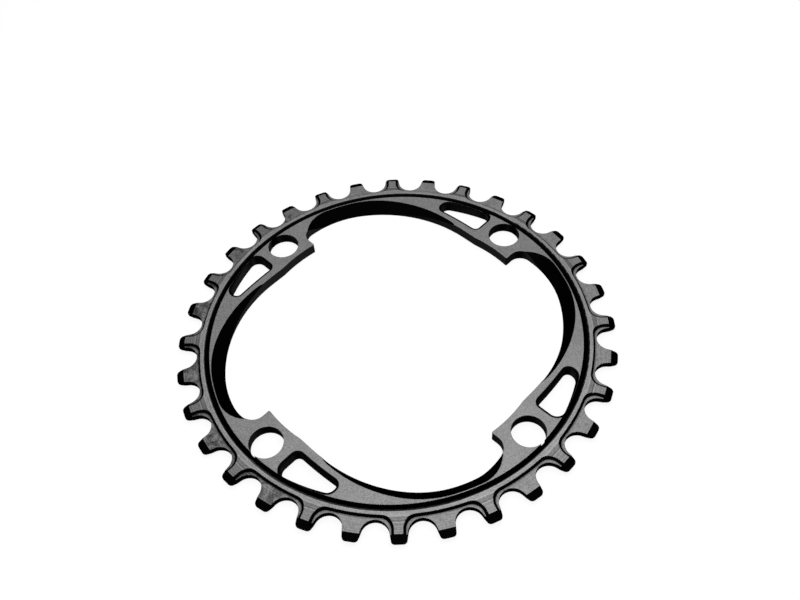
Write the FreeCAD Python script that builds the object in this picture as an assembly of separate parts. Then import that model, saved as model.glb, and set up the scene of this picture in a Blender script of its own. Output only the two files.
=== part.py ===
import FreeCAD, Part
import math
import os

# Bicycle chainring for one front ring, machined from one aluminium plate.
# Millimetres. The Z axis is the axis of the ring and +Z is the side seen from outside the bicycle.
# Z = 0 is the flat back face, on which the ring lies when it is put down.
# Angles are in degrees. The part repeats every quarter turn, and one quarter is drawn in its own
# sketch frame: the bolt hole is straight up on +Y and clockwise along the rim is +X.

# Teeth
tooth_count = 32
chain_pitch = 12.7
seat_radius = 3.9              # hollow in which a chain roller sits
seat_half_angle = 76.0         # from the bottom of the hollow to the start of the flank
tip_above_pitch = 2.3          # tooth tip above the pitch circle
tip_corner_radius = 1.1
core_thickness = 2.0           # narrow teeth, and the middle of the wide ones

# Pads that make every second tooth wide
pad_half_width = 1.0
pad_foot_radius = 3.9          # fillet from the flank of a pad to the edge of the rim
pad_lean = 0.95                # how far the side of a pad stands out at the core
rim_lean = 0.6                 # the same for the edge of the rim
pad_sink = 0.2                 # face of a pad below the face of the rim, on each side
pad_ramp_start = 0.35          # from the edge of the rim to the ramp that sinks the pad
pad_ramp_length = 1.6
facet_length = 2.1             # turned slope at the tips, measured along the radius
pad_facet_drop = 1.08
core_facet_drop = 0.7

# Plate and rim
plate_thickness = 3.6
rim_edge_below_root = 1.13     # edge of the full-thickness rim, in from the bottom of the hollows
rim_face_width = 0.95          # flat band between the edge and the rounded lip of the groove
lip_radius = 1.2               # rounded outer lip of the turned groove
groove_width = 1.85            # from its sharp inner edge to the start of the lip
groove_depth = 1.25            # at the foot of the inner wall

# Bolt holes and tabs
bolt_count = 4
bolt_circle_diameter = 104.0
bolt_hole_diameter = 10.0
tab_edge_to_hole = 6.85        # from the centre of a hole to the edge of its tab
tab_flat_to_hole = 7.3         # from the centre of a hole to the straight part of that edge
tab_flat_end = 11.6            # where the straight part ends, beside the hole
hook_width = 7.25              # from the centre of a hole to the side of the hook
hook_fillet_radius = 4.0
hook_tip_radius = 0.4

# Inner wall of the rim, from one hook to the next tab
long_wall_radius = 42.1
short_wall_radius = 30.0
wall_change_angle = 38.4       # direction in which one radius changes to the other

# Upper edge of the sloping face above that wall
ledge_to_groove = 0.3          # thinnest strip of face between the slope and the groove
swirl_start_radius = 10.0
swirl_start_angle = 21.0
swirl_leave_angle = 29.5
swirl_first_radius = 30.7
swirl_change_angle = 58.4
swirl_last_radius = 40.9
runout_radius = 5.0            # where the cutter leaves the plate, beside the next tab
runout_sweep = 60.0
slope_run = 3.7                # how far the slope runs in over the thickness of the plate

# Window beside each bolt hole
window_near_side = 7.75
window_far_side = 25.2
window_foot_to_hole = 5.0      # lower edge, in from the centre of the hole
window_foot_radius = 120.0
window_foot_crest = 9.0
window_past_groove = 0.05      # near side of the outer wall, out from the inner edge of the groove
window_short_of_groove = 0.95  # far side of the outer wall, in from that edge
window_corner = 1.7
window_groove_corner = 2.6     # at both ends of the outer wall
window_bevel_width = 0.75      # along the front edge, all round
window_bevel_depth = 0.35

# Worked out from the sizes above
pitch_radius = chain_pitch / (2 * math.sin(math.pi / tooth_count))
root_radius = pitch_radius - seat_radius
tip_radius = pitch_radius + tip_above_pitch
rim_edge_radius = root_radius - rim_edge_below_root
lip_outer_radius = rim_edge_radius - rim_face_width
groove_inner_radius = lip_outer_radius - groove_width
facet_start_radius = tip_radius - facet_length
bolt_radius = bolt_circle_diameter / 2
tab_edge_radius = bolt_radius - tab_edge_to_hole
tab_flat = bolt_radius - tab_flat_to_hole
core_bottom = (plate_thickness - core_thickness) / 2
core_top = core_bottom + core_thickness
tooth_step = 360 / tooth_count
quarter_step = 360 / bolt_count
first_hole_angle = quarter_step / 2
clear = 1.0                    # how far a cutting solid stands out past what it cuts

V = FreeCAD.Vector
UP = V(0, 0, 1)


def heading(angle, length=1.0):
    """A vector in the sketch frame, at an angle measured clockwise from +Y."""
    return V(length * math.sin(math.radians(angle)), length * math.cos(math.radians(angle)), 0)


def turned(point, angle):
    """A point turned about the axis of the ring, clockwise for a positive angle."""
    return FreeCAD.Rotation(UP, -angle).multVec(point)


def line(start, end):
    return Part.LineSegment(start, end).toShape()


def arc(center, start, end):
    """The shorter arc about a centre, from start to end."""
    radius = (start - center).Length
    middle = (start - center).normalize() + (end - center).normalize()
    return Part.Arc(start, center + middle.normalize() * radius, end).toShape()


def turned_edges(edges, angle):
    """Copies of some edges, turned clockwise about the axis of the ring."""
    return [edge.rotated(V(0, 0, 0), UP, -angle) for edge in edges]


def prism(edges, bottom, top):
    """A closed outline in the sketch plane, made a solid from one height to another."""
    face = Part.Face(Part.Wire(Part.__sortEdges__(edges)))
    return face.translated(V(0, 0, bottom)).extrude(V(0, 0, top - bottom))


def revolved(profile):
    """A closed profile of (radius, height) points turned a full turn about the axis."""
    points = [V(radius, 0, height) for radius, height in profile]
    return Part.Face(Part.makePolygon(points + points[:1])).revolve(V(0, 0, 0), UP, 360)


def both_faces(profile):
    """Adds to an upper half profile its mirror image below the middle of the rim."""
    return profile + [(radius, plate_thickness - height) for radius, height in reversed(profile)]


def tooth_edges():
    """One tooth on +Y and the hollow clockwise of it, on the outline of the core."""
    hollow = heading(tooth_step / 2, pitch_radius)
    flank_heading = tooth_step / 2 - 90 + seat_half_angle
    seat = hollow + heading(tooth_step / 2 - 180 + seat_half_angle, seat_radius)
    inward = heading(flank_heading - 90)
    # the round at the tip touches the flank and the tip circle, so its centre is on a line
    # beside the flank and on a circle inside the tip circle
    beside = seat + inward * tip_corner_radius
    along = heading(flank_heading)
    reach = beside.dot(along)
    run = math.sqrt((tip_radius - tip_corner_radius) ** 2 - beside.dot(beside) + reach ** 2) - reach
    center = beside + along * run
    flank_top = center - inward * tip_corner_radius
    tip_edge = V(center).normalize() * tip_radius
    mirror = [V(-point.x, point.y, 0) for point in (tip_edge, flank_top, seat, center)]
    tip_edge_left, flank_top_left, seat_left, center_left = mirror
    return [
        line(seat_left, flank_top_left),
        arc(center_left, flank_top_left, tip_edge_left),
        arc(V(0, 0, 0), tip_edge_left, tip_edge),
        arc(center, tip_edge, flank_top),
        line(flank_top, seat),
        Part.Arc(seat, heading(tooth_step / 2, root_radius), turned(seat_left, tooth_step)).toShape(),
    ]


def pad_edges(share):
    """One pad on +Y and the edge of the rim clockwise of it, leaning out by a share of the lean."""
    foot_radius = pad_foot_radius - rim_lean * share
    rim_edge = rim_edge_radius + rim_lean * share
    half_width = pad_half_width + pad_lean * share
    rise = rim_edge + foot_radius
    side = half_width + foot_radius
    center = V(side, math.sqrt(rise ** 2 - side ** 2), 0)
    foot = center * (rim_edge / rise)
    flank = V(half_width, center.y, 0)
    top = V(half_width, tip_radius + clear, 0)
    center_left, foot_left, flank_left, top_left = [
        V(-point.x, point.y, 0) for point in (center, foot, flank, top)]
    return [
        arc(center_left, foot_left, flank_left),
        line(flank_left, top_left),
        line(top_left, top),
        line(top, flank),
        arc(center, flank, foot),
        arc(V(0, 0, 0), foot, turned(foot_left, 2 * tooth_step)),
    ]


def pad_wire(share, height):
    """The outline of the rim with all its pads, at one height."""
    outline = []
    for pad in range(tooth_count // 2):
        outline += turned_edges(pad_edges(share), 2 * pad * tooth_step)
    return Part.Wire(outline).translated(V(0, 0, height))


def toothed_blank():
    """Rim and teeth: a thin core with every tooth, and a thicker rim with the pads."""
    outline = []
    for tooth in range(tooth_count):
        outline += turned_edges(tooth_edges(), tooth * tooth_step)
    core = revolved(both_faces([
        (0, core_top),
        (facet_start_radius, core_top),
        (tip_radius, core_top - core_facet_drop),
    ]))
    ramp_start = rim_edge_radius + pad_ramp_start
    pad_face = plate_thickness - pad_sink
    pad_envelope = revolved(both_faces([
        (0, plate_thickness),
        (ramp_start, plate_thickness),
        (ramp_start + pad_ramp_length, pad_face),
        (facet_start_radius, pad_face),
        (tip_radius, pad_face - pad_facet_drop),
    ]))
    front = Part.makeLoft([pad_wire(1, core_top), pad_wire(0, plate_thickness)], True, True)
    front = front.common(pad_envelope)
    back = front.mirror(V(0, 0, plate_thickness / 2), UP)
    blank = core.fuse([front, back]).common(prism(outline, 0, plate_thickness))
    return blank.removeSplitter()


def groove():
    """The turned groove: a sharp inner edge, an upright wall and a bank that rounds into the lip."""
    above = plate_thickness + clear
    bank_foot = V(groove_inner_radius, 0, plate_thickness - groove_depth)
    lip_top = V(lip_outer_radius, 0, plate_thickness)
    lip_center = V(lip_outer_radius, 0, plate_thickness - lip_radius)
    # the bank touches the lip, so the lip begins where the two meet at a right angle to its radius
    to_center = lip_center - bank_foot
    bank_length = math.sqrt(to_center.Length ** 2 - lip_radius ** 2)
    bank_angle = math.atan2(to_center.z, to_center.x) + math.atan2(lip_radius, bank_length)
    lip_foot = bank_foot + V(math.cos(bank_angle), 0, math.sin(bank_angle)) * bank_length
    corners = [
        lip_top,
        V(lip_outer_radius, 0, above),
        V(groove_inner_radius, 0, above),
        bank_foot,
        lip_foot,
    ]
    edges = [line(start, end) for start, end in zip(corners, corners[1:])]
    edges.append(arc(lip_center, lip_foot, lip_top))
    return Part.Face(Part.Wire(edges)).revolve(V(0, 0, 0), UP, 360)


def inner_wall_edges():
    """The inner wall for one tab: its edge, the hook, and the sweep to the next tab."""
    flat_start = V(-math.sqrt(tab_edge_radius ** 2 - tab_flat ** 2), tab_flat, 0)
    hook_tip = V(hook_width, math.sqrt(tab_edge_radius ** 2 - hook_width ** 2), 0)
    long_center = turned(V(-tab_flat_end, tab_flat - long_wall_radius, 0), quarter_step)
    change = heading(wall_change_angle)
    short_center = long_center + change * (long_wall_radius - short_wall_radius)
    # the fillet touches the side of the hook and the inside of the short arc
    across = hook_width + hook_fillet_radius - short_center.x
    reach = short_wall_radius - hook_fillet_radius
    fillet_center = short_center + V(across, math.sqrt(reach ** 2 - across ** 2), 0)
    fillet_start = V(hook_width, fillet_center.y, 0)
    fillet_end = short_center + (fillet_center - short_center) * (short_wall_radius / reach)
    wall_change = long_center + change * long_wall_radius
    flat_end = turned(V(-tab_flat_end, tab_flat, 0), quarter_step)
    return [
        arc(V(0, 0, 0), flat_start, hook_tip),
        line(hook_tip, fillet_start),
        arc(fillet_center, fillet_start, fillet_end),
        arc(short_center, fillet_end, wall_change),
        arc(long_center, wall_change, flat_end),
        line(flat_end, turned(flat_start, quarter_step)),
    ]


def inner_opening():
    """The opening inside the ring, down through the whole plate, with rounded hook tips."""
    outline = []
    for tab in range(bolt_count):
        outline += turned_edges(inner_wall_edges(), tab * quarter_step)
    opening = prism(outline, -clear, plate_thickness + clear)
    tip = V(hook_width, math.sqrt(tab_edge_radius ** 2 - hook_width ** 2), 0)
    tips = [turned(tip, tab * quarter_step) for tab in range(bolt_count)]
    return opening.makeFillet(hook_tip_radius, upright_edges(opening, tips))


def upright_edges(solid, places):
    """The upright edges of a solid that stand at some places of the sketch plane."""
    found = []
    for edge in solid.Edges:
        start, end = edge.Vertexes[0].Point, edge.Vertexes[-1].Point
        upright = math.hypot(start.x - end.x, start.y - end.y) < 1e-6
        near = any(math.hypot(start.x - at.x, start.y - at.y) < 1e-3 for at in places)
        if upright and near:
            found.append(edge)
    return found


def slope_outline(run, height):
    """Outline of the sloping face at one height, set in by a run, closed inside the opening."""
    face_radius = groove_inner_radius - ledge_to_groove
    start_center = heading(swirl_start_angle, face_radius - swirl_start_radius)
    first_center = heading(swirl_leave_angle, face_radius - swirl_first_radius)
    change = heading(swirl_change_angle)
    last_center = first_center - change * (swirl_last_radius - swirl_first_radius)
    crest = heading(quarter_step)
    runout_center = last_center + crest * (swirl_last_radius - runout_radius)

    start = start_center + heading(swirl_start_angle - 80, swirl_start_radius - run)
    on_rim = heading(swirl_start_angle, face_radius - run)
    off_rim = heading(swirl_leave_angle, face_radius - run)
    changed = first_center + change * (swirl_first_radius - run)
    runout = runout_center + crest * (runout_radius - run)
    end = runout_center + heading(quarter_step + runout_sweep, runout_radius - run)
    inside = V(end.x, end.y, 0) * 0.8
    edges = [
        arc(start_center, start, on_rim),
        arc(V(0, 0, 0), on_rim, off_rim),
        arc(first_center, off_rim, changed),
        arc(last_center, changed, runout),
        arc(runout_center, runout, end),
        line(end, inside),
        line(inside, start),
    ]
    return Part.Wire([edge.translated(V(0, 0, height)) for edge in edges])


def slope():
    """The sloping face between a hook and the next tab, as the solid that cuts it."""
    upper = slope_outline(0, plate_thickness)
    lower = slope_outline(slope_run, 0)
    return Part.makeLoft([upper, lower], True, True)


def window():
    """The window beside a bolt hole, which runs into the groove, with its front edge bevelled."""
    near_side = window_near_side + window_bevel_width
    far_side = window_far_side - window_bevel_width
    near_radius = groove_inner_radius + window_past_groove
    far_radius = groove_inner_radius - window_short_of_groove
    foot_radius = window_foot_radius + window_bevel_width
    foot_center = V(-window_foot_crest, bolt_radius - window_foot_to_hole - window_foot_radius, 0)

    def on_foot(x):
        across = x - foot_center.x
        return foot_center + V(across, math.sqrt(foot_radius ** 2 - across ** 2), 0)

    near_top = V(-near_side, math.sqrt(near_radius ** 2 - near_side ** 2), 0)
    far_top = V(-far_side, math.sqrt(far_radius ** 2 - far_side ** 2), 0)
    middle = (near_top + far_top).normalize() * ((near_radius + far_radius) / 2)
    near_foot, far_foot = on_foot(-near_side), on_foot(-far_side)
    opening = prism([
        Part.Arc(far_top, middle, near_top).toShape(),
        line(near_top, near_foot),
        arc(foot_center, near_foot, far_foot),
        line(far_foot, far_top),
    ], -clear, plate_thickness - window_bevel_depth)
    opening = opening.makeFillet(window_groove_corner, upright_edges(opening, [near_top, far_top]))
    opening = opening.makeFillet(window_corner, upright_edges(opening, [near_foot, far_foot]))
    top_face = max(opening.Faces, key=lambda face: face.CenterOfMass.z)
    wide = top_face.makeOffset2D(window_bevel_width).translated(V(0, 0, window_bevel_depth))
    bevel = Part.makeLoft([top_face.OuterWire, wide.OuterWire], True, True)
    return opening.fuse(bevel)


def bolt_hole():
    """The drill for a bolt hole, straight through its tab."""
    height = plate_thickness + 2 * clear
    return Part.makeCylinder(bolt_hole_diameter / 2, height, V(0, bolt_radius, -clear))


def chainring():
    """The whole ring, with its first bolt hole half a quarter turn from +X."""
    ring = toothed_blank()
    ring = ring.cut([groove(), inner_opening()])
    for cutter in (slope(), window(), bolt_hole()):
        copies = [cutter.rotated(V(0, 0, 0), UP, -tab * quarter_step) for tab in range(bolt_count)]
        ring = ring.cut(copies)
    return ring.removeSplitter().rotated(V(0, 0, 0), UP, first_hole_angle - 90)


os.makedirs("parts", exist_ok=True)
chainring().exportStep("parts/chainring.step")
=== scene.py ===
# %% [markdown]
# # A black bicycle chainring on a white table
#
# The ring is one piece of aluminium, cut and turned from a plate and then anodised black. Its solid
# comes from CAD, so this lesson is about the finish: how one material can show a satin face, a black
# slope and a machined wall, and how light and table bring that out. Lengths are in metres, and the
# ring lies flat with its axis on Z.

# %% Load the ring
import math

import bpy
from mathutils import Matrix, Vector


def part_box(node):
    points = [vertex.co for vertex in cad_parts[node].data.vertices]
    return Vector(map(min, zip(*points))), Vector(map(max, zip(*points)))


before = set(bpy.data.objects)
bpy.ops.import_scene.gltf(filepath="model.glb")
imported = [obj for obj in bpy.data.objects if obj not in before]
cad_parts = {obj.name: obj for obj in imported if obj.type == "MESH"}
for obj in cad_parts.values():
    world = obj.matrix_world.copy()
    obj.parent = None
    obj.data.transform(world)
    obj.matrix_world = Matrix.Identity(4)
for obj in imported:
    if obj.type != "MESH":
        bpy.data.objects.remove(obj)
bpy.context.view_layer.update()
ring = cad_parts["chainring"]
low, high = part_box("chainring")
print("ring across", round(high[0] - low[0], 4), "thick", round(high[2] - low[2], 4))

# %% [markdown]
# ## One material for the whole ring
#
# Every face went through the same black bath, but the faces don't look alike. The flat faces keep the
# fine grain of the plate and are given a grey, the turned and milled slopes are given a black, and a
# painted sheen fades from the one to the other as a face tips away.
# Several materials could be given to faces one by one, but the CAD mesh has no named faces. One
# material that asks which way each point looks needs no such list, and it works on every mesh of
# this ring.

# %% Helpers for shader nodes, and a blank material
def feed(tree, value, socket):
    """Links an output to a socket, or writes a number or colour on it."""
    if isinstance(value, bpy.types.NodeSocket):
        tree.links.new(value, socket)
    else:
        socket.default_value = value


def add(tree, kind, inputs=None, **settings):
    """One node, with its settings and those inputs that differ from their defaults."""
    made = tree.nodes.new("ShaderNode" + kind)
    for name, value in settings.items():
        setattr(made, name, value)
    for name, value in (inputs or {}).items():
        feed(tree, value, made.inputs[name])
    return made


def work_out(tree, operation, *values):
    """One Math node; each value is a number or the output of another node."""
    made = add(tree, "Math", operation=operation)
    for socket, value in zip(made.inputs, values):
        feed(tree, value, socket)
    return made.outputs[0]


finish = bpy.data.materials.new("black_anodised")
finish.use_nodes = True
tree = finish.node_tree
shader = tree.nodes["Principled BSDF"]
print("blank material", finish.name)

# %% [markdown]
# ### Where the point is
#
# Turning leaves marks that run round the axis, and milling leaves marks only on the sunk faces of the
# teeth. Both can be told from the place of the point: its distance from the axis, and its height.
# Object coordinates give both, and they stay with the ring when it moves.

# %% Distance from the axis
position = add(tree, "TexCoord").outputs["Object"]
place = add(tree, "SeparateXYZ", {"Vector": position}).outputs
x_squared = work_out(tree, "MULTIPLY", place["X"], place["X"])
distance_squared = work_out(tree, "MULTIPLY_ADD", place["Y"], place["Y"], x_squared)
distance = work_out(tree, "SQRT", distance_squared)
print("distance from the axis takes", len(tree.nodes), "nodes so far")

# %% [markdown]
# The sunk faces of the teeth are the only flat ones in a narrow band of heights. A test with two hard
# limits would leave jagged borders, so two smooth fades are multiplied: one comes up at the low end of
# the band and one goes down at its high end.

# %% Milled faces by their height
tooth_face_low = 0.0024
tooth_face_high = 0.0031
soft_edge = 0.0001


def fade(tree, value, start, end, at_start=0.0, at_end=1.0):
    """A value that goes smoothly from one level to another between two ends."""
    made = add(tree, "MapRange", {"Value": value}, interpolation_type="SMOOTHSTEP")
    for socket, number in zip(made.inputs[1:5], (start, end, at_start, at_end)):
        socket.default_value = number
    return made.outputs[0]


above = fade(tree, place["Z"], tooth_face_low - soft_edge, tooth_face_low)
below = fade(tree, place["Z"], tooth_face_high + soft_edge, tooth_face_high)
milled = work_out(tree, "MULTIPLY", above, below)
print("milled faces lie between", tooth_face_low * 1000, "and", tooth_face_high * 1000, "mm")

# %% [markdown]
# ### Which way a face looks
#
# A machinist breaks every sharp edge by about two tenths of a millimetre. Cutting that into the mesh
# would take thousands of faces, so a Bevel node rounds the shading instead. Its normal is turned into
# the ring's own space, where the size of its Z part is 1 on a flat face and 0 on an upright wall.

# %% The rounded normal and the true one
edge_break = 0.00022
bevel_samples = 6


def own_parts(tree, normal):
    """The X, Y and Z parts of a normal in the ring's own space."""
    own = add(tree, "VectorTransform", {"Vector": normal}, vector_type="NORMAL")
    own.convert_from = "WORLD"
    own.convert_to = "OBJECT"
    return add(tree, "SeparateXYZ", {"Vector": own.outputs[0]}).outputs


rounded = add(tree, "Bevel", {"Radius": edge_break}, samples=bevel_samples).outputs["Normal"]
facing = own_parts(tree, rounded)
upright = work_out(tree, "ABSOLUTE", facing["Z"])
true_facing = own_parts(tree, add(tree, "NewGeometry").outputs["True Normal"])
true_upright = work_out(tree, "ABSOLUTE", true_facing["Z"])
print("edges broken by", edge_break * 1000, "mm")

# %% [markdown]
# A power of that number is a painted sheen: it falls off the way the highlight on satin metal does as
# a face tips away, so flat faces are painted grey, the rounded lip of the groove fades, and the slopes
# go black. The tips of the teeth are turned smoother and get a higher power. Where two black faces
# meet, the rounding can point straight up, so the face itself, before rounding, has to be flat too.

# %% Painted sheen on flat faces, slopes and walls
painted_sheen_falloff = 42.0
tip_sheen_falloff = 160.0
tips_start = 0.0640
tips_full = 0.0645
face_is_steep = 0.89
face_is_flat = 0.945
wall_starts = 0.25
wall_is_upright = 0.05

falloff = fade(tree, distance, tips_start, tips_full, painted_sheen_falloff, tip_sheen_falloff)
# painted sheen: the grey falls off as the rounded normal tips away from straight up
painted_sheen_lobe = work_out(tree, "POWER", upright, falloff)
painted_sheen = work_out(tree, "MULTIPLY", painted_sheen_lobe, fade(tree, true_upright, face_is_steep, face_is_flat))
wall = fade(tree, upright, wall_starts, wall_is_upright)
print("the satin fades with a power of", painted_sheen_falloff, "and on the tips", tip_sheen_falloff)

# %% [markdown]
# ### Turned rings
#
# The rim outside the groove was faced on a lathe, and its fine rings still show. A pattern of one
# dimension, read by the distance from the axis, draws them without drawing each one. It is the same
# all the way round, as a real cut is. A noise pattern has its middle at one half, and with that taken
# off, the rings go as far below the mean as above it.

# %% Turned rings on the rim
turned_from = 0.0585
turned_by = 0.0589
rings_in_a_metre = 2600.0
ring_detail = 2.0
rings_left_by_milling = 0.5
pattern_middle = 0.5

ring_noise = {"W": distance, "Scale": rings_in_a_metre, "Detail": ring_detail}
ring_pattern = add(tree, "TexNoise", ring_noise, noise_dimensions="1D").outputs["Fac"]
turned = fade(tree, distance, turned_from, turned_by)
rings = work_out(tree, "SUBTRACT", ring_pattern, pattern_middle)
rings = work_out(tree, "MULTIPLY", rings, turned)
rings = work_out(tree, "MULTIPLY", rings, fade(tree, milled, 0.0, 1.0, 1.0, rings_left_by_milling))
print("rings about", round(1000 / rings_in_a_metre, 2), "mm apart")

# %% [markdown]
# The last cut left the rim a little lighter than the web inside the groove, and the teeth a little
# darker, with their milled faces between the two. The same distance and height give each its tone, so
# no borders have to be drawn.

# %% A tone for rim and teeth
rim_ends = 0.0598
teeth_start = 0.0614
rim_extra = 0.13
teeth_extra = -0.08
milled_extra = 0.12

extra = fade(tree, distance, rim_ends, teeth_start, rim_extra, teeth_extra)
tone = work_out(tree, "MULTIPLY_ADD", turned, extra, 1.0)
tone = work_out(tree, "MULTIPLY_ADD", milled, milled_extra, tone)
print("the rim is", 1 + rim_extra, "times as light as the web, the teeth", 1 + teeth_extra)

# %% [markdown]
# ### Grain and clouds
#
# Before the bath the plate was blasted, which leaves a grain of a few tenths of a millimetre, and the
# dye takes a little unevenly over a centimetre or so. One noise pattern could hold both, but two of
# their own let each be tuned by itself.

# %% Patterns of two sizes
grain_scale = 2700.0
grain_detail = 2.0
cloud_scale = 90.0
cloud_detail = 4.0
pattern_roughness = 0.6


def speckle(tree, position, scale, detail, distortion=0.0):
    """A cloudy pattern between 0 and 1, with scale spots in a metre."""
    noise = {"Vector": position, "Scale": scale, "Detail": detail, "Distortion": distortion}
    return add(tree, "TexNoise", noise | {"Roughness": pattern_roughness}).outputs["Fac"]


grain = speckle(tree, position, grain_scale, grain_detail)
cloud = speckle(tree, position, cloud_scale, cloud_detail)
print("grain", round(1000 / grain_scale, 2), "mm, clouds", round(1000 / cloud_scale, 1), "mm")

# %% [markdown]
# ### Painted shade on one side, and smears
#
# The teeth on the -X side are painted darker, a painted shade for light that comes from the other
# side, and soft smears darken their milled faces, most of all on that side. Painting smears by hand
# would need an image. A bent noise pattern gives their shape, a fade along X keeps the painted shade
# to its side, and the other side keeps a trace of the smears.

# %% Painted side shade and smears
darker_side_starts = -0.005
darker_side_full = -0.050
side_shade_starts = 0.0616
side_shade_full = 0.0619
smudge_scale = 330.0
smudge_detail = 2.0
smudge_bend = 1.2
smudge_clear = 0.35
smudge_dark = 0.65
smudge_everywhere = 0.2

# painted shade: the teeth on the -X side are darkened
darker_side = fade(tree, place["X"], darker_side_starts, darker_side_full)
painted_side_shade = work_out(tree, "MULTIPLY", darker_side, fade(tree, distance, side_shade_starts, side_shade_full))
smear = speckle(tree, position, smudge_scale, smudge_detail, smudge_bend)
smudge = fade(tree, smear, smudge_clear, smudge_dark)
smudge = work_out(tree, "MULTIPLY", smudge, milled)
smudge = work_out(tree, "MULTIPLY", smudge, fade(tree, darker_side, 0.0, 1.0, smudge_everywhere, 1.0))
print("smears about", round(1000 / smudge_scale, 1), "mm wide")

# %% [markdown]
# ### Painted shade in the corner under each step
#
# The wide teeth and the rim stand proud of the sunk faces, and little light gets into the corner below
# them, so a painted shade darkens it. Painting a line along the step would need its outline again.
# An Ambient Occlusion node measures how closed in each point is, so it finds the corner by itself.

# %% Painted shade in the corners
corner_reach = 0.0010
corner_samples = 8
closed_in = 0.86
open_from = 0.97
corner_shade_level = 0.45

corner = add(tree, "AmbientOcclusion", {"Distance": corner_reach}, samples=corner_samples)
# painted shade: the grey drops where the AO node finds a closed-in corner
painted_corner_shade = fade(tree, corner.outputs["AO"], closed_in, open_from, corner_shade_level, 1.0)
print("corners darken within", corner_reach * 1000, "mm")

# %% [markdown]
# ### Painted highlight along the edges
#
# Where a flat face starts to round over, a thin bright line is painted along it as a highlight. The
# Bevel node has already made that rounding, so the line lies where the upright number has left 1 but
# not gone far.

# %% Painted highlight along the edges
glint_starts = 0.9999
glint_full = 0.9990
glint_falls = 0.9975
glint_ends = 0.9920
glint_gain = 0.8

# painted highlight along the rounded edges
leaving = fade(tree, upright, glint_starts, glint_full)
still_near = fade(tree, upright, glint_ends, glint_falls)
painted_edge_highlight = work_out(tree, "MULTIPLY", leaving, still_near)
painted_edge_highlight = work_out(tree, "MULTIPLY_ADD", painted_edge_highlight, glint_gain, 1.0)
print("edges are up to", 1 + glint_gain, "times as light")

# %% [markdown]
# ### Painted side light on the walls
#
# The walls of the holes, the windows and the inner edge aren't one black: those that face left or
# right get a painted dark grey, as light from the sides would give them, and those that face front or
# back stay black. Lamps on both sides would show that, but would light the flat faces too. The X part
# of the normal, multiplied by itself, goes from 0 on a wall that faces front or back to 1 on one that
# faces a side, and so it sets how much painted side light each gets.

# %% Painted side light on the inner walls
wall_black = 0.003
painted_side_light = 0.04
inside_ends = 0.0570
inside_starts = 0.0565

# painted side light: walls that face left or right get a dark grey
side_lit_share = work_out(tree, "MULTIPLY", facing["X"], facing["X"])
side_lit_share = work_out(tree, "MULTIPLY", side_lit_share, fade(tree, distance, inside_ends, inside_starts))
wall_black_and_side_light = work_out(tree, "MULTIPLY_ADD", side_lit_share, painted_side_light, wall_black)
print("inner walls go from", wall_black, "to", wall_black + painted_side_light)

# %% [markdown]
# ### The grey of the flat faces
#
# The patterns are added to one middle grey, so that each can be tuned by itself. The middle of the
# grain and clouds comes off that grey first, so that their shares change the contrast and not the
# mean. The painted shade in corners, the painted highlight on edges, the tone and the painted shade on
# one side are factors, because each lets through a part of the light.

# %% Grey of the flat faces
face_grey = 0.147
grain_share = 0.25
cloud_share = 0.07
ring_share = 0.13
smudge_share = 0.09
side_shade_share = 0.22

level = face_grey - pattern_middle * (grain_share + cloud_share)
level = work_out(tree, "MULTIPLY_ADD", grain, grain_share, level)
level = work_out(tree, "MULTIPLY_ADD", cloud, cloud_share, level)
level = work_out(tree, "MULTIPLY_ADD", rings, ring_share, level)
level = work_out(tree, "MULTIPLY_ADD", smudge, -smudge_share, level)
level = work_out(tree, "MULTIPLY", level, painted_corner_shade)
level = work_out(tree, "MULTIPLY", level, painted_edge_highlight)
level = work_out(tree, "MULTIPLY", level, tone)
level = work_out(tree, "MULTIPLY", level, fade(tree, painted_side_shade, 0.0, 1.0, 1.0, 1.0 - side_shade_share))
print("flat faces have a mean of", face_grey)

# %% [markdown]
# ### Grey, black and the walls together
#
# Slopes are the blackest, and the walls have a grey of their own with painted side light, because no
# grain shows on either.
# Two blends put the three together: the first goes from slope to wall, and the second from that dark
# to the grey of the flat faces by the painted sheen.

# %% One colour for every point
slope_black = 0.0010

dark = work_out(tree, "SUBTRACT", wall_black_and_side_light, slope_black)
dark = work_out(tree, "MULTIPLY_ADD", wall, dark, slope_black)
lighter = work_out(tree, "SUBTRACT", level, dark)
grey = work_out(tree, "MULTIPLY_ADD", painted_sheen, lighter, dark)
colour = add(tree, "CombineColor", {"Red": grey, "Green": grey, "Blue": grey}).outputs[0]
print("slopes are at", slope_black)

# %% [markdown]
# ### Metal, roughness and bump
#
# The dyed layer is thin and clear over metal, so the base is a dark metal with no white sheen at its
# edges: the tint of the edge is set to black. The same grain and rings that shade the faces also
# vary the roughness and lift the normal a little, so that the satin moves when the light moves.

# %% Put the finish on the ring
mean_roughness = 0.5
grain_roughness = 0.16
bump_height = 0.00001
bump_strength = 0.25


def plain_grey(level):
    """An opaque grey, from 0 for black to 1 for white."""
    return (level, level, level, 1.0)


least_rough = mean_roughness - pattern_middle * grain_roughness
rough = work_out(tree, "MULTIPLY_ADD", grain, grain_roughness, least_rough)
relief = work_out(tree, "ADD", grain, rings)
bump_numbers = {"Strength": bump_strength, "Distance": bump_height}
bump = add(tree, "Bump", bump_numbers | {"Height": relief, "Normal": rounded}).outputs[0]
feed(tree, colour, shader.inputs["Base Color"])
feed(tree, rough, shader.inputs["Roughness"])
feed(tree, bump, shader.inputs["Normal"])
feed(tree, 1.0, shader.inputs["Metallic"])
feed(tree, plain_grey(0.0), shader.inputs["Specular Tint"])
ring.data.materials.clear()
ring.data.materials.append(finish)
print("finish has", len(tree.nodes), "nodes")

# %% [markdown]
# ## White to the eye
#
# The ring was shown on white. A white paint in strong light would also throw light up at the ring and
# wash out its black, so the white is kept apart from the light: only rays from the camera, from a
# reflection or through clear glass see it, and a Light Path node tells those rays from the rest.

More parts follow.
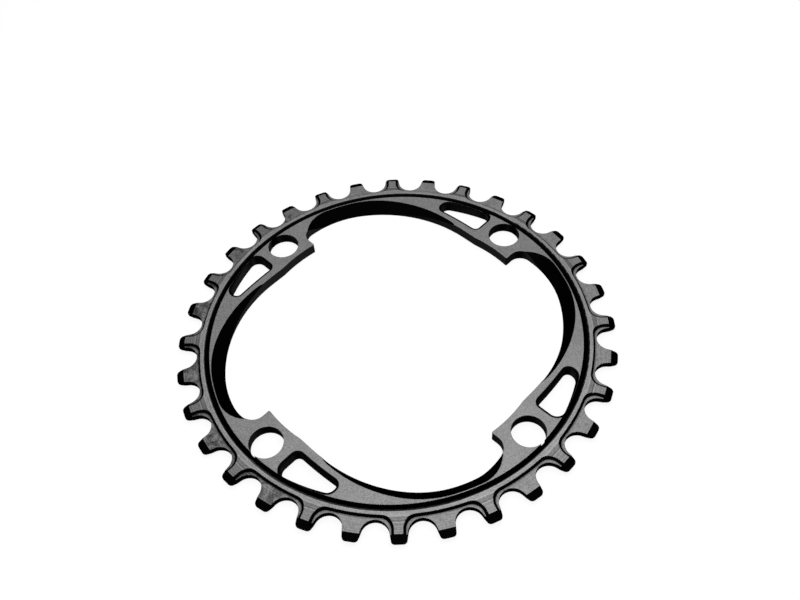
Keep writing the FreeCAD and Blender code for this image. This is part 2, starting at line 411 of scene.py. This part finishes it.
# %% Rays that see the white
def seen_rays(tree):
    """1 for rays from the camera, a reflection or clear glass, and 0 for the rest."""
    rays = add(tree, "LightPath").outputs
    seen = work_out(tree, "MAXIMUM", rays["Is Camera Ray"], rays["Is Glossy Ray"])
    return work_out(tree, "MAXIMUM", seen, rays["Is Transmission Ray"])


print("white shows to camera, glossy and transmission rays")

# %% [markdown]
# ## A white table
#
# The ring lies on a plain white surface. For the rays that see the white, it glows just under white
# and keeps a small share that answers to the lamps, so that the ring's shadow shows. For all other
# rays it is ordinary matte paint, which gives the walls of the ring some light from below.

# %% Paint for the table
table_glow = 0.88
shadow_share = 0.15
table_paint = 0.8


def table_material():
    """White to the eye, with a share that takes shadows, and matte paint to other light."""
    material = bpy.data.materials.new("white_table")
    material.use_nodes = True
    tree = material.node_tree
    tree.nodes.clear()
    white = add(tree, "Emission", {"Color": plain_grey(1.0), "Strength": table_glow})
    matte = add(tree, "BsdfDiffuse", {"Color": plain_grey(shadow_share)})
    plain = add(tree, "BsdfDiffuse", {"Color": plain_grey(table_paint)})
    seen_table = add(tree, "AddShader")
    feed(tree, white.outputs[0], seen_table.inputs[0])
    feed(tree, matte.outputs[0], seen_table.inputs[1])
    choice = add(tree, "MixShader")
    feed(tree, seen_rays(tree), choice.inputs[0])
    feed(tree, plain.outputs[0], choice.inputs[1])
    feed(tree, seen_table.outputs[0], choice.inputs[2])
    add(tree, "OutputMaterial", {"Surface": choice.outputs[0]})
    return material


white_table = table_material()
print("table glows at", table_glow, "and takes shadows at", shadow_share)

# %% [markdown]
# One square is enough for the table, because it is flat and carries no pattern. It ends far outside
# the picture and lies a fiftieth of a millimetre under the ring, so that the two don't share a plane.

# %% The table
table_half = 2.0
table_gap = 0.00002

corners = [(-table_half, -table_half, 0), (table_half, -table_half, 0)]
corners += [(table_half, table_half, 0), (-table_half, table_half, 0)]
table_mesh = bpy.data.meshes.new("table")
table_mesh.from_pydata(corners, [], [(0, 1, 2, 3)])
table_mesh.materials.append(white_table)
table = bpy.data.objects.new("table", table_mesh)
table.location.z = low[2] - table_gap
bpy.context.scene.collection.objects.link(table)
print("table", 2 * table_half, "m wide at height", round(table.location.z, 5))

# %% [markdown]
# ## A white room
#
# Satin metal shows mostly what is round it, and this ring was shown in a white room. The world is
# white to the rays that see the white, and gives about a third of that as light, so the room reads
# white and the ring still gets its shading from the lamps.

# %% The room
white_strength = 1.0
room_light = 0.35

world = bpy.data.worlds.new("white_room")
world.use_nodes = True
bpy.context.scene.world = world
room_tree = world.node_tree
room_tree.nodes.clear()
seen = seen_rays(room_tree)
strength = work_out(room_tree, "MULTIPLY_ADD", seen, white_strength - room_light, room_light)
room = add(room_tree, "Background", {"Color": plain_grey(1.0), "Strength": strength})
add(room_tree, "OutputWorld", {"Surface": room.outputs[0]})
print("room gives", room_light, "of its white as light")

# %% [markdown]
# ## Two softboxes
#
# The faces are a little lighter on the near side and the shadows have no hard edge, which points to
# large soft lamps. One hangs above and slightly behind, and a weaker one stands front left, as a
# product photographer would set them. Area lamps as wide as three rings give that softness.

# %% The lamps
softbox_size = 0.40
key_place = (0.05, 0.08, 0.50)
key_power = 1.5
front_place = (-0.25, -0.30, 0.45)
front_power = 0.6


def softbox(name, place, power):
    """A square area lamp at a place, facing the middle of the ring."""
    lamp = bpy.data.lights.new(name, "AREA")
    lamp.shape = "SQUARE"
    lamp.size = softbox_size
    lamp.energy = power
    holder = bpy.data.objects.new(name, lamp)
    holder.location = place
    holder.rotation_euler = Vector(place).to_track_quat("Z", "Y").to_euler()
    bpy.context.scene.collection.objects.link(holder)
    print(name, "at", place, "with", power, "W")


softbox("key", key_place, key_power)
softbox("front", front_place, front_power)

# %% [markdown]
# ## The camera
#
# The camera looks down from the front at about 52 degrees, from a little over a quarter of a metre,
# and is rolled by 5 degrees, so the ring leans in the picture. Its place, aim and lens were found by
# matching the teeth and the bolt holes, and the three are kept as plain numbers.

# %% The camera
camera_place = Vector((0.009893, -0.150519, 0.212362))
camera_aim = Vector((0.001794, 0.011449, 0.003704))
camera_roll = math.radians(-4.9855)
camera_lens = 37.825
sensor_width = 36.0
nearest = 0.01
farthest = 20.0


def photo_camera():
    """A camera at its place, aimed at a point and rolled about its own axis."""
    back = (camera_place - camera_aim).normalized()
    across = Vector((0, 0, 1)).cross(back).normalized()
    right = math.cos(camera_roll) * across + math.sin(camera_roll) * back.cross(across)
    turn = Matrix((right, back.cross(right), back)).transposed()
    data = bpy.data.cameras.new("photo_camera")
    data.lens = camera_lens
    data.sensor_width = sensor_width
    data.clip_start = nearest
    data.clip_end = farthest
    camera = bpy.data.objects.new("photo_camera", data)
    camera.matrix_world = Matrix.Translation(camera_place) @ turn.to_4x4()
    bpy.context.scene.collection.objects.link(camera)
    return camera


bpy.context.scene.camera = photo_camera()
bpy.context.scene.view_settings.view_transform = "Standard"
print("camera", round((camera_place - camera_aim).length, 3), "m from its aim")
